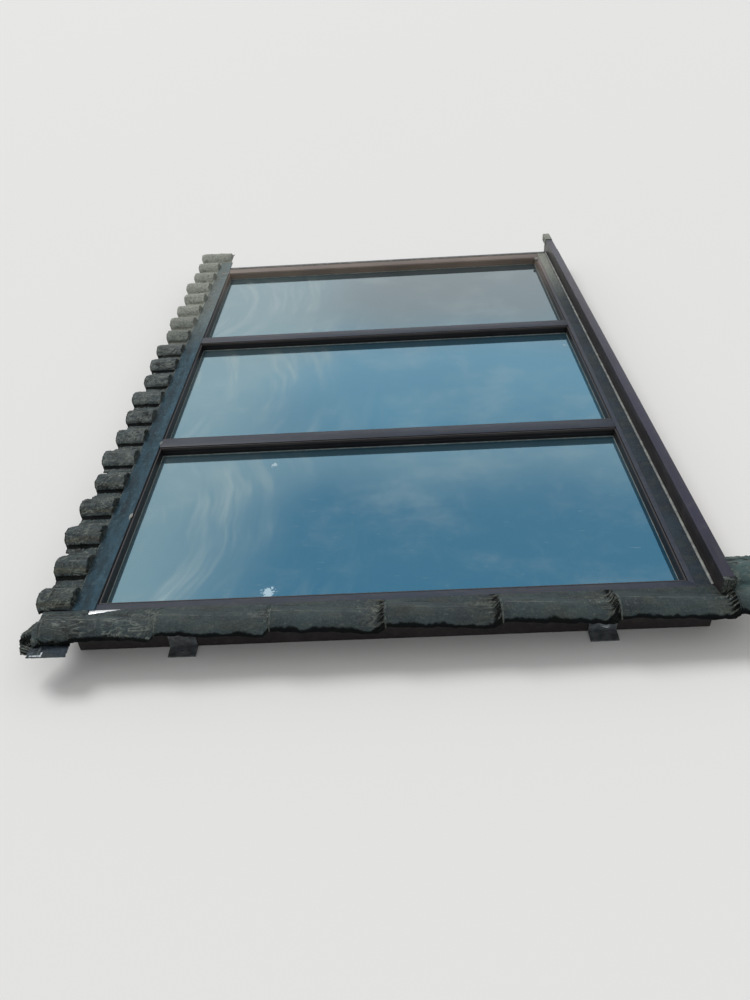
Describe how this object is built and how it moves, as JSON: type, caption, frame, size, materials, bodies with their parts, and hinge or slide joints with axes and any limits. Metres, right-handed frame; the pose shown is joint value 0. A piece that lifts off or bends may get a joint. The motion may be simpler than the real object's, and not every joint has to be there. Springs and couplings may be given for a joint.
{
  "type": "roof skylight",
  "caption": "Fixed roof skylight: a rectangular brown frame with insulating panes side by side, glazing bars between them, and sheet flashing dressed over roof tiles.",
  "frame": {"origin": "centre of the frame underside, at the middle of the four anchor holes", "axes": "+X up the roof slope, +Y along the ridge, +Z out of the roof"},
  "size_m": [2.0869, 3.0763, 0.1826],
  "materials": {
    "frame_paint": "dark brown powder coat, faintly textured",
    "cover_paint": "weathered dark brown powder coat, satin",
    "bead_paint": "dark brown powder coat with fine lines",
    "glass": "clear float glass, dusty and wiped",
    "spacer": "mill finish",
    "gasket": "matt extruded rubber",
    "lead_sheet": "flexible lead-grey sheet, crinkled and weathered",
    "lead_tape": "blue-grey self-adhesive flashing strip",
    "kerb_paint": "dark brown coated sheet",
    "mastic": "grey-white mastic, hand laid",
    "steel": "zinc plated",
    "bare_aluminium": "bright, unpainted",
    "packer": "moulded plastic",
    "batten": "planed softwood"
  },
  "bodies": {
    "root": {"anchor_brackets": "steel", "bar_cap_middle": "cover_paint", "bar_cap_near": "cover_paint", "bar_cleats": "steel", "bare_strip": "bare_aluminium", "bead_far_far": "bead_paint", "bead_far_head": "bead_paint", "bead_far_near": "bead_paint", "bead_far_sill": "bead_paint", "bead_middle_far": "bead_paint", "bead_middle_head": "bead_paint", "bead_middle_near": "bead_paint", "bead_middle_sill": "bead_paint", "bead_near_far": "bead_paint", "bead_near_head": "bead_paint", "bead_near_near": "bead_paint", "bead_near_sill": "bead_paint", "corner_cleats": "bare_aluminium", "corner_patch": "lead_tape", "cover_far_jamb": "cover_paint", "cover_head": "cover_paint", "cover_near_jamb": "cover_paint", "cover_sill": "cover_paint", "edge_spacer_far": "spacer", "edge_spacer_middle": "spacer", "edge_spacer_near": "spacer", "far_corner_lead": "lead_sheet", "far_soaker": "kerb_paint", "fixing_screws": "steel", "frame_far_jamb": "frame_paint", "frame_head": "frame_paint", "frame_near_jamb": "frame_paint", "frame_sill": "frame_paint", "glazing_bar_middle": "frame_paint", "glazing_bar_near": "frame_paint", "head_batten": "batten", "head_corner_lead": "lead_sheet", "head_end_cap": "lead_sheet", "head_flashing": "kerb_paint", "head_near_cap": "lead_sheet", "head_tape": "lead_tape", "inner_glass_far": "glass", "inner_glass_middle": "glass", "inner_glass_near": "glass", "mastic_far": "mastic", "mastic_head": "mastic", "near_side_flashing": "lead_sheet", "outer_glass_far": "glass", "outer_glass_middle": "glass", "outer_glass_near": "glass", "seat_gasket_far": "gasket", "seat_gasket_middle": "gasket", "seat_gasket_near": "gasket", "setting_blocks": "packer", "sill_apron_far": "lead_sheet", "sill_apron_middle": "lead_sheet", "sill_apron_near": "lead_sheet", "top_gasket_far": "gasket", "top_gasket_middle": "gasket", "top_gasket_near": "gasket"}
  },
  "joints": []
}
